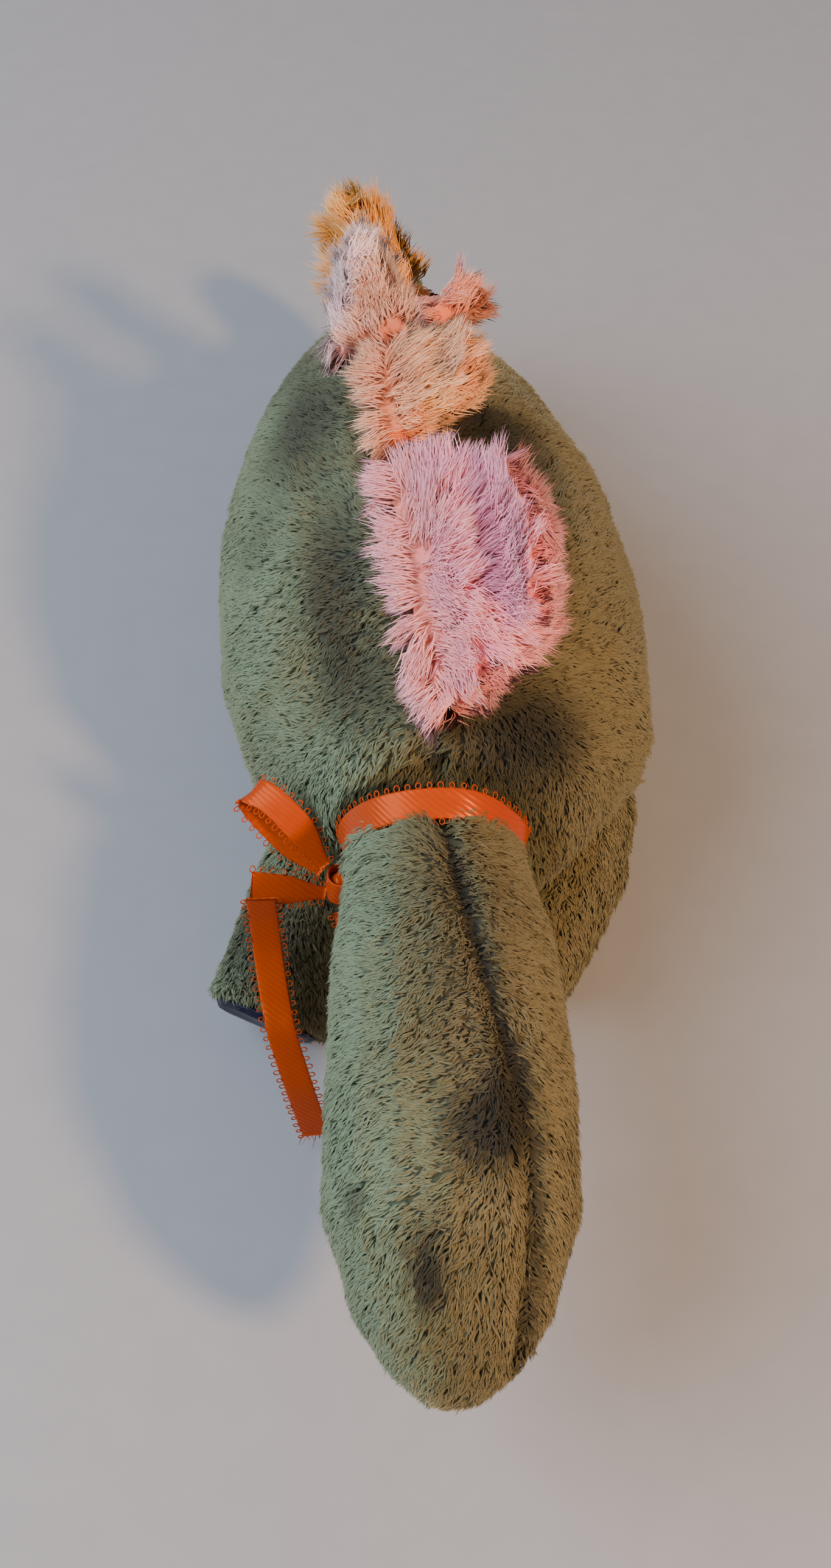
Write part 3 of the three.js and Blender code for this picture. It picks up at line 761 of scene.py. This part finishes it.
def thread(points, radius, sides=5):
    """The points and faces of one tapered thread along a few points."""
    line = np.asarray(points, float)
    along = unit(np.gradient(line, axis=0))
    one = tangents(np.broadcast_to([0.31, 0.17, 0.93], line.shape), along)
    two = np.cross(along, one)
    size = radius * np.linspace(1, 0.45, len(line))[:, None, None]
    angle = np.linspace(0, 2 * np.pi, sides, endpoint=False)[None, :, None]
    rings = line[:, None] + size * (np.cos(angle) * one[:, None] + np.sin(angle) * two[:, None])
    n = len(line)
    i = np.arange(n - 1)[:, None] * sides
    j = np.arange(sides)[None]
    beside = (j + 1) % sides
    quads = np.stack([i + j, i + beside, i + sides + beside, i + sides + j], -1).reshape(-1, 4)
    points = np.concatenate([rings.reshape(-1, 3), line[:1], line[-1:]])
    first = np.stack([np.full(sides, n * sides), (np.arange(sides) + 1) % sides, np.arange(sides)], 1)
    last_row = (n - 1) * sides
    last = np.stack([np.full(sides, n * sides + 1), last_row + np.arange(sides),
                     last_row + (np.arange(sides) + 1) % sides], 1)
    return points, quads, np.concatenate([first, last]).astype(np.int32)


def threads_piece(name, lines, radius, material):
    """Many threads as one mesh."""
    points, quads, triangles, count = [], [], [], 0
    for line in lines:
        p, q, t = thread(line, radius)
        points.append(p)
        quads.append(q + count)
        triangles.append(t + count)
        count += len(p)
    faces = [np.concatenate(quads), np.concatenate(triangles)]
    return new_piece(name, np.concatenate(points), faces, material)


class AddRibbonEnds(bpy.types.Operator):
    """Adds the two loose ends of the bow, which hang from the knot"""

    bl_idname = "dinosaur.add_ribbon_ends"
    bl_label = "Add ribbon ends"

    def execute(self, context):
        settings = context.scene.dinosaur_ribbon
        rng = np.random.default_rng(7)
        for node, route in (("ribbon_tail_long", TAIL_LONG), ("ribbon_tail_short", TAIL_SHORT)):
            line, length = smooth_route(row(route))
            strip = ribbon_strip(node + "_satin", line, (1, 0, 0), settings)
            loops = picot_loops(node + "_picots", line, (1, 0, 0), settings)
            along, wide, thick = frame_of(line, (1, 0, 0), False)
            frays = []
            for _ in range(26):
                start = line[-2] + wide[-1] * rng.uniform(-0.5, 0.5) * settings.width
                way = along[-1] + 0.5 * rng.normal(size=3)
                far = rng.uniform(0.0012, 0.0036)
                bend = start + way * far * 0.5
                frays.append([start, bend, start + way * far * 0.8 + thick[-1] * far * 0.3])
            fray = threads_piece(node + "_fray", frays, 0.00011, ribbon_satin(settings))
            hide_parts(node)
            for piece in (strip, loops, fray):
                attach(piece, "torso")
        return {"FINISHED"}


class AddRibbonBow(bpy.types.Operator):
    """Adds the band round the neck, the knot, the two loops and the fold"""

    bl_idname = "dinosaur.add_ribbon_bow"
    bl_label = "Add ribbon bow"

    def execute(self, context):
        settings = context.scene.dinosaur_ribbon
        # The band leans forward over the nape, and each turn of it slopes with the neck.
        tilt = math.radians(-3)
        axis = np.array([0, -math.cos(tilt), math.sin(tilt)])
        up = np.array([0, math.sin(tilt), math.cos(tilt)])
        middle = row(NECK) + np.array([0, 0.0026, -0.0002])
        angle = np.linspace(0, 2 * np.pi, 72, endpoint=False)
        ripple = 0.00025 * np.sin(3 * angle + 1) + 0.00015 * np.sin(7 * angle)
        outward = np.cos(angle)[:, None] * np.array([1, 0, 0]) + np.sin(angle)[:, None] * up
        reach = 0.0211 + 0.0011 * np.abs(np.sin(angle)) ** 3 + ripple
        circle = middle + reach[:, None] * outward + 0.0004 * np.sin(4 * angle)[:, None] * axis
        made = []
        line, _ = smooth_route(circle, closed=True)
        slope = axis - 0.36 * unit(line - middle)
        band = ribbon_strip("ribbon_band_satin", line, slope, settings, closed=True)
        made.append((band, ["ribbon_neckband"]))
        made.append((picot_loops("ribbon_band_picots", line, slope, settings, closed=True), []))
        both = ("first", "last")
        for node, route, across, ends in (("ribbon_loop_upper", LOOP_UPPER, (0.72, 0.58, 0.38), both),
                                          ("ribbon_loop_lower", LOOP_LOWER, (0, -0.9, 0.3), both),
                                          ("ribbon_fold", FOLD, (0.15, 0.86, 0.5), ("first",))):
            line, _ = smooth_route(row(route))
            made.append((ribbon_strip(node + "_satin", line, across, settings, ends=ends), [node]))
            made.append((picot_loops(node + "_picots", line, across, settings, ends=ends), []))
        # The knot is the ribbon wrapped once and a half round its own core, pulled tight.
        turn = np.linspace(-0.6 * np.pi, 2.3 * np.pi, 60)
        swell = np.array([3.5, 3.1, 3.3]) * MM
        wraps = np.stack([swell[0] * np.cos(turn) * 0.92, swell[1] * np.sin(turn),
                          np.linspace(-0.9, 0.9, 60) * MM], axis=1)
        wraps = row(KNOT) + wraps * (1 + 0.06 * np.linspace(0, 1, 60))[:, None]
        line, _ = smooth_route(wraps)
        narrow = ribbon_strip("ribbon_knot_satin", line, (0.1, 0.2, 1), settings, wave=0.0002)
        made.append((narrow, ["ribbon_knot"]))
        core = new_piece("ribbon_knot_core", *ball_form(row(KNOT), swell * 0.93, 20, 14),
                         ribbon_satin(settings))
        made.append((core, []))
        for piece, nodes in made:
            if nodes:
                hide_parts(*nodes)
            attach(piece, "torso")
        return {"FINISHED"}


def ball_form(centre, radii, around, down):
    """Points and faces of a crumpled ball."""
    theta = np.linspace(0, np.pi, down + 1)[1:-1, None]
    phi = np.linspace(0, 2 * np.pi, around, endpoint=False)[None]
    shell = np.stack([np.sin(theta) * np.cos(phi), np.sin(theta) * np.sin(phi),
                      np.cos(theta) * np.ones_like(phi)], -1)
    shell = np.concatenate([shell.reshape(-1, 3), [[0, 0, 1], [0, 0, -1]]])
    shell = shell * (1 + 0.05 * np.sin(9 * shell[:, :1] + 5 * shell[:, 2:]))
    rows = down - 1
    i = np.arange(rows - 1)[:, None] * around
    j = np.arange(around)[None]
    beside = (j + 1) % around
    quads = np.stack([i + j, i + around + j, i + around + beside, i + beside], -1).reshape(-1, 4)
    k = np.arange(around)
    top = np.stack([np.full(around, rows * around), k, (k + 1) % around], 1)
    last = (rows - 1) * around
    base = np.stack([np.full(around, rows * around + 1), last + (k + 1) % around, last + k], 1)
    return centre + shell * radii, [quads, np.concatenate([top, base])]


# Plush body


def body_look(settings, **changes):
    """How the body's pile grows, in the terms that grow_pile reads, with any changes."""
    look = {"length": settings.pile_length, "tuft_area": settings.tuft_area * 1e-6, "strands": 10,
            "spread": 0.0008, "sunk": 0.0004, "swirl": 45, "swirl_size": 0.016, "stray": 12, "skew": 12,
            "gather": 0.5, "lift": (52, 14), "width": 0.0005}
    look.update(changes)
    return look


def flank_light_and_dye_shade(points, normals, seam=None):
    """Colour marks of the green plush: which flank, whose colour is partly painted cool and warm light, and
    how dark, from dye and painted shade, with a painted shade line along the seam groove.
    """
    dye = dye_and_shade_at(points)
    if seam is not None:
        far, _ = seam_distance(points, seam)
        # A dark line on the upper faces along the sunk seam: painted shade in the groove.
        dye = np.clip(dye + 0.75 * np.exp(-((far / 0.0016) ** 2)) * (normals[:, 2] > 0), 0, 1)
    return np.stack([np.clip(normals[:, 0], -0.75, 0.75), dye], axis=1)


def dress(skin, body, nodes, material, tint):
    """Gives a skin its material and marks, and says what it stands for."""
    points, _, _ = arrays_of(skin.data)
    # The bare cloth is marked low in the pile, so it takes the darkened root colour: painted shade under the
    # pile.
    keep_attributes(skin.data, points, np.concatenate([tint, np.full((len(points), 1), 0.3)], axis=1))
    skin.data.materials.append(material)
    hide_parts(*nodes)
    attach(skin, body)


def inset(skin, depth, seam=None, groove=0.0):
    """Draws a skin in by the height of its pile, and further along a seam."""
    points, normals, _ = arrays_of(skin.data)
    pull = np.zeros(len(points)) + depth
    if seam is not None:
        far, _ = seam_distance(points, seam)
        pull = pull + groove * np.exp(-((far / 0.0026) ** 2)) * (normals[:, 2] > 0)
    pull = pull + 0.0005 * soft_noise(points, 0.014, 3)
    points = points - normals * pull[:, None]
    points[:, 2] = np.maximum(points[:, 2], 0.0)
    skin.data.vertices.foreach_set("co", points.astype(np.float32).ravel())
    skin.data.update()


def add_filling(name, node, body, depth, seam=None, groove=0.0):
    """The loose fibre inside a skin, drawn in so that it stays below the cloth."""
    filling = soft_skin(name, [node], voxel=0.003, rounds=10)
    inset(filling, depth, seam, groove)
    filling.data.materials.append(material_named("loose_fibre_white", loose_fibre, "#f4f1e9", "#d8d3c6"))
    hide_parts(node)
    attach(filling, body)


class AddTorso(bpy.types.Operator):
    """Adds the torso's plush skin and its pile"""

    bl_idname = "dinosaur.add_torso"
    bl_label = "Add torso"

    def execute(self, context):
        settings = context.scene.dinosaur_plush
        skin = soft_skin("torso_plush", TORSO_NODES, voxel=0.0022, rounds=26)
        inset(skin, 0.0013, BACK_SEAM, groove=0.0016)
        add_filling("torso_filling", "torso_fibre_fill", "torso", 0.0048, BACK_SEAM, groove=0.002)
        points, normals, _ = arrays_of(skin.data)
        furry = np.clip(points[:, 2] / 0.004, 0, 1)
        # No pile grows where another part is pressed against the cloth.
        clearances = ((LEGS, 0.0019), (("head",), 0.0009), (("tail",), 0.0014), (("ribbon_neck",), 0.0008))
        for names, clear in clearances:
            near = distance_to(points, [n for n in NODES if n.startswith(names)], 0.006)
            furry = furry * np.clip((near - clear) / 0.0012, 0, 1)
        furry = furry * np.where(normals[:, 2] < -0.55, 0.45, 1.0)
        material = green_plush(settings)
        dress(skin, "torso", TORSO_PANELS, material,
              flank_light_and_dye_shade(points, normals, BACK_SEAM))

        def comb(p, n):
            flank = np.sign(n[:, 0])
            # On the shoulders the pile lies forward, over the edge of the ribbon.
            front = np.clip((-0.028 - p[:, 1]) / 0.018, 0, 1)
            return np.stack([0.5 * flank * (1 - front), 0.35 + 0.2 * flank - 1.6 * front,
                             -0.75 + 0 * flank], axis=1)

        grow_pile(skin, "torso_pile", "torso", material, comb,
                  lambda p, n: flank_light_and_dye_shade(p, n, BACK_SEAM), furry,
                  body_look(settings, tuft_area=2.9e-6), seed=11)
        return {"FINISHED"}


class AddHead(bpy.types.Operator):
    """Adds the head and neck: plush skin, sunken seam, pile and eyes"""

    bl_idname = "dinosaur.add_head"
    bl_label = "Add head"

    def execute(self, context):
        settings = context.scene.dinosaur_plush
        panels = ["head_panel_left", "head_panel_right"]
        skin = soft_skin("head_plush", panels + ["head_fibre_fill"], voxel=0.0017, rounds=24)
        add_filling("head_filling", "head_fibre_fill", "head", 0.0035, HEAD_SEAM, groove=0.0035)
        axis = np.array([0, -math.cos(NECK_RISE), math.sin(NECK_RISE)])
        points, _, _ = arrays_of(skin.data)
        # Behind the ribbon the neck swells a little, so the cloth meets its edge.
        swell = 0.0017 * np.exp(-((((points - row(NECK)) @ axis - 0.0015) / 0.004) ** 2))
        inset(skin, 0.0012 - swell, HEAD_SEAM, groove=0.0026)
        points, normals, _ = arrays_of(skin.data)
        ahead = (points - row(NECK)) @ axis
        furry = np.clip((ahead + 0.0004) / 0.001, 0, 1)
        eyes = distance_to(points, ["eye_left", "eye_right"], 0.006)
        furry = furry * np.clip((eyes - 0.001) / 0.002, 0, 1)
        material = green_plush(settings)
        dress(skin, "head", panels, material,
              flank_light_and_dye_shade(points, normals, HEAD_SEAM))

        def comb(p, n):
            _, side = seam_distance(p, HEAD_SEAM)
            tip = np.clip((-p[:, 1] - 0.1) / 0.06, 0, 1)
            return np.stack([0.75 * side, -0.3 - 0.7 * tip, -0.45 - 0.2 * tip], axis=1)

        grow_pile(skin, "head_pile", "head", material, comb,
                  lambda p, n: flank_light_and_dye_shade(p, n, HEAD_SEAM), furry,
                  body_look(settings, tuft_area=2.1e-6), seed=23)
        plastic = material_named("moulded_plastic_black", moulded_plastic, "#0b0a09", "#15120f", 0.12)
        for side in ("left", "right"):
            eye = soft_skin(f"eye_{side}_dome", ["eye_" + side], voxel=0.00035, rounds=6)
            eye.data.materials.append(plastic)
            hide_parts("eye_" + side)
            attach(eye, "head")
        return {"FINISHED"}


class AddTail(bpy.types.Operator):
    """Adds the tail's plush skin and its pile"""

    bl_idname = "dinosaur.add_tail"
    bl_label = "Add tail"

    def execute(self, context):
        settings = context.scene.dinosaur_plush
        panels = ["tail_panel_left", "tail_panel_right"]
        skin = soft_skin("tail_plush", panels + ["tail_fibre_fill"], voxel=0.0016, rounds=12)
        inset(skin, 0.001)
        add_filling("tail_filling", "tail_fibre_fill", "tail", 0.004)
        points, normals, _ = arrays_of(skin.data)
        pivot = np.array(JOINTS["tail_bend"]["pos_m"])
        back = np.array([0, math.cos(math.radians(20)), -math.sin(math.radians(20))])
        furry = np.clip(((points - pivot) @ back - 0.0006) / 0.002, 0, 1)
        material = green_plush(settings)
        dress(skin, "tail", panels, material,
              flank_light_and_dye_shade(points, normals))

        def comb(p, n):
            return np.stack([0.2 * np.sign(n[:, 0]), np.ones(len(p)), 0.3 + 0 * p[:, 0]], axis=1)

        grow_pile(skin, "tail_pile", "tail", material, comb, flank_light_and_dye_shade, furry,
                  body_look(settings), seed=37)
        return {"FINISHED"}


class AddLegs(bpy.types.Operator):
    """Adds the four legs: plush skin, pile and satin soles"""

    bl_idname = "dinosaur.add_legs"
    bl_label = "Add legs"

    def execute(self, context):
        settings = context.scene.dinosaur_plush
        material = green_plush(settings)
        satin = material_named("woven_satin_navy", woven_satin, "#12121d", "#090910", 0.5, "#8088a8")
        for index, leg in enumerate(LEGS):
            skin = soft_skin(leg + "_plush", [leg + "_skin", leg + "_fill"], voxel=0.0015, rounds=34)
            inset(skin, 0.0008)
            add_filling(leg + "_filling", leg + "_fill", leg, 0.0032)
            points, normals, _ = arrays_of(skin.data)
            near = distance_to(points, TORSO_NODES, 0.008)
            sole = distance_to(points, [leg + "_sole"], 0.006)
            furry = np.clip((near - 0.0028) / 0.0015, 0, 1) * np.clip((sole - 0.0009) / 0.0012, 0, 1)
            furry = furry * np.clip(points[:, 2] / 0.003, 0.0, 1)
            dress(skin, leg, [leg + "_skin"], material, flank_light_and_dye_shade(points, normals))

            def comb(p, n):
                return np.stack([0.35 * n[:, 0], -0.8 + 0 * p[:, 0], -0.4 + 0 * p[:, 0]], axis=1)

            grow_pile(skin, leg + "_pile", leg, material, comb, flank_light_and_dye_shade, furry,
                      body_look(settings, length=settings.pile_length * 0.9), seed=41 + index)
            pad = soft_skin(leg + "_sole_satin", [leg + "_sole"], voxel=0.0008, rounds=14)
            inset(pad, 0.0004)
            pad.data.materials.append(satin)
            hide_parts(leg + "_sole")
            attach(pad, leg)
        return {"FINISHED"}


# Crest

CREST = [
    # Tips, body, near the seam and in the fold, for each plate from the front.
    ("#ffaab2", "#ff7180", "#ff8052", "#f97cb4"),
    ("#ffc08c", "#ff8e54", "#f55a22", "#ffc774"),
    ("#ffe0d2", "#ffb09c", "#fc8062", "#fd9698"),
    ("#ffa888", "#fb8664", "#f26e4c", "#fb8664"),
    ("#ffac40", "#f38a1e", "#f0783a", "#f89a30"),
]


class AddCrest(bpy.types.Operator):
    """Adds the five fluffy plates of the crest, with a stitched dart on the first"""

    bl_idname = "dinosaur.add_crest"
    bl_label = "Add crest"

    def execute(self, context):
        settings = context.scene.dinosaur_crest
        for index, colours in enumerate(CREST):
            plate = f"plate_{index + 1}"
            joint = JOINTS[plate + "_fold"]
            faces = [plate + "_face_a", plate + "_face_b"]
            material = material_named(f"long_pile_plush_{index + 1}", long_pile_plush, *colours)
            base = np.array(joint["pos_m"], float)
            along = unit(np.array(joint["axis"], float))
            cad, _ = joined(faces)
            span = ((cad - base) @ along).max()
            middle = base + along * span / 2
            rise = cad.mean(axis=0) - middle
            upward = unit(rise - along * (rise @ along))
            outward = np.cross(along, upward)
            height = ((cad - base) @ upward).max()

            skin = soft_skin(plate + "_plush", faces, voxel=0.0013, rounds=8)
            points, normals, _ = arrays_of(skin.data)
            lift = np.clip((points - base) @ upward / height, 0, 1)
            wave = soft_noise(points, 0.022, 60 + index) + 0.5 * soft_noise(points, 0.012, 70 + index)
            # The cloth buckles in one long fold along the plate.
            ripple_depth, fold_depth = (0.0024, 0.0026) if index == 0 else (0.0012, 0.001)
            buckle = (ripple_depth * wave + fold_depth * np.cos(11 * (lift - 0.12))) * lift
            points = points + outward * buckle[:, None]
            points = points - normals * 0.0006
            # The pile stands beyond the cloth, so the cloth stops short of the plate's edge.
            points = points - upward * (0.0068 * lift)[:, None]
            ends = ((points - middle) @ along) / (span / 2)
            points = points - along * (0.0045 * ends * np.clip(2 * lift, 0, 1))[:, None]
            skin.data.vertices.foreach_set("co", points.astype(np.float32).ravel())
            skin.data.update()
            points, normals, _ = arrays_of(skin.data)

            def marks(p, n):
                up_part = np.clip((p - base) @ upward / height, 0, 1)
                fold = 0.65 * np.exp(-(((up_part - 0.42) / 0.17) ** 2))
                fold = fold * (0.6 + 0.7 * soft_noise(p, 0.012, 90))
                return np.stack([np.clip(1.5 * up_part + 0.05, 0, 1), np.clip(fold, 0, 1)], axis=1)

            dress(skin, plate, faces, material, marks(points, normals))

            def comb(p, n):
                up_part = (p - base) @ upward
                fan = p - (middle - upward * 0.012)
                # Below the parting the pile spills down over the back.
                down = (up_part < 0.0045)[:, None]
                reach = ((p - middle) @ along / (span / 2))[:, None] * along
                spill = -0.8 * upward + 0.9 * n + 0.8 * reach
                return np.where(down, spill, unit(fan) + np.array([0, 0, -0.2]))

            look = {"length": settings.pile_length, "tuft_area": 5.5e-6, "strands": settings.strands,
                    "spread": 0.0012, "sunk": 0.0005, "swirl": 42, "swirl_size": 0.011, "stray": 14,
                    "skew": 16, "gather": 0.4, "lift": (42, 12), "width": 0.00036}
            grow_pile(skin, plate + "_pile", plate, material, comb, marks,
                      np.ones(len(points)), look, seed=80 + index)

            if index:
                continue
            # A dart across the front of the first plate, sewn in red with a slanting stitch.
            top = points[normals[:, 2] > 0.1]
            flat = np.stack([(top - base) @ along / span, (top - base) @ upward / height], axis=1)
            spots = [top[np.argmin(np.sum((flat - (0.2 + 0.05 * t, 0.2 + 0.5 * t)) ** 2, axis=1))]
                     for t in np.linspace(0, 1, 10)]
            line, _ = smooth_route(np.array(spots), step=0.0009)
            cotton = material_named("spun_thread_red", woven_satin, "#d2474c", "#a52f3a", 0.6, "#ffb0a0")
            lifted = np.array([0.2, -0.3, 0.95]) * 0.0032
            slant = along * 0.0007
            stitches = [[a - slant + lifted * 0.8, (a + b) / 2 + lifted * 1.1, b + slant + lifted * 0.8]
                        for a, b in zip(line[:-1:2], line[1::2])]
            sewn = threads_piece(plate + "_stitches", stitches, 0.00022, cotton)
            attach(sewn, plate)
        return {"FINISHED"}


class AddInside(bpy.types.Operator):
    """Gives the bean pouch and the eye washers their materials"""

    bl_idname = "dinosaur.add_inside"
    bl_label = "Add inside"

    def execute(self, context):
        # The pouch is out of sight, so its cotton takes the pattern of the fibre round it.
        pouch = material_named("woven_cotton_pouch", loose_fibre, "#d9d4c5", "#bdb7a5")
        washer = material_named("moulded_plastic_white", moulded_plastic, "#e6e6e0", "#d6d6d0", 0.4)
        for name, node in NODES.items():
            if name == "bean_pouch" or name.startswith("eye_washer"):
                node.data.materials.clear()
                node.data.materials.append(pouch if name == "bean_pouch" else washer)
        return {"FINISHED"}


class DinosaurPanel(bpy.types.Panel):
    """Lists the pieces in the order they are made"""

    bl_idname = "VIEW3D_PT_dinosaur"
    bl_label = "Dinosaur"
    bl_space_type = "VIEW_3D"
    bl_region_type = "UI"
    bl_category = "Dinosaur"

    def draw(self, context):
        for operator in OPERATORS:
            self.layout.operator(operator.bl_idname)
        for name in GROUPS:
            box = self.layout.box()
            settings = getattr(context.scene, name)
            for key in settings.__annotations__:
                box.prop(settings, key)


OPERATORS = (AddStage, AddRibbonEnds, AddTorso, AddHead, AddTail, AddLegs, AddCrest, AddRibbonBow, AddInside)
GROUPS = {"dinosaur_stage": StageSettings, "dinosaur_plush": PlushSettings, "dinosaur_crest": CrestSettings,
          "dinosaur_ribbon": RibbonSettings}


def register():
    for item in (*GROUPS.values(), *OPERATORS, DinosaurPanel):
        bpy.utils.register_class(item)
    for name, group in GROUPS.items():
        setattr(bpy.types.Scene, name, PointerProperty(type=group))


def unregister():
    for name in GROUPS:
        delattr(bpy.types.Scene, name)
    for item in (DinosaurPanel, *reversed(OPERATORS), *GROUPS.values()):
        bpy.utils.unregister_class(item)


def main():
    register()
    bpy.ops.dinosaur.add_stage()
    bpy.ops.dinosaur.add_ribbon_ends()
    bpy.ops.dinosaur.add_torso()
    bpy.ops.dinosaur.add_head()
    bpy.ops.dinosaur.add_tail()
    bpy.ops.dinosaur.add_legs()
    bpy.ops.dinosaur.add_crest()
    bpy.ops.dinosaur.add_ribbon_bow()
    bpy.ops.dinosaur.add_inside()


if __name__ == "__main__":
    main()
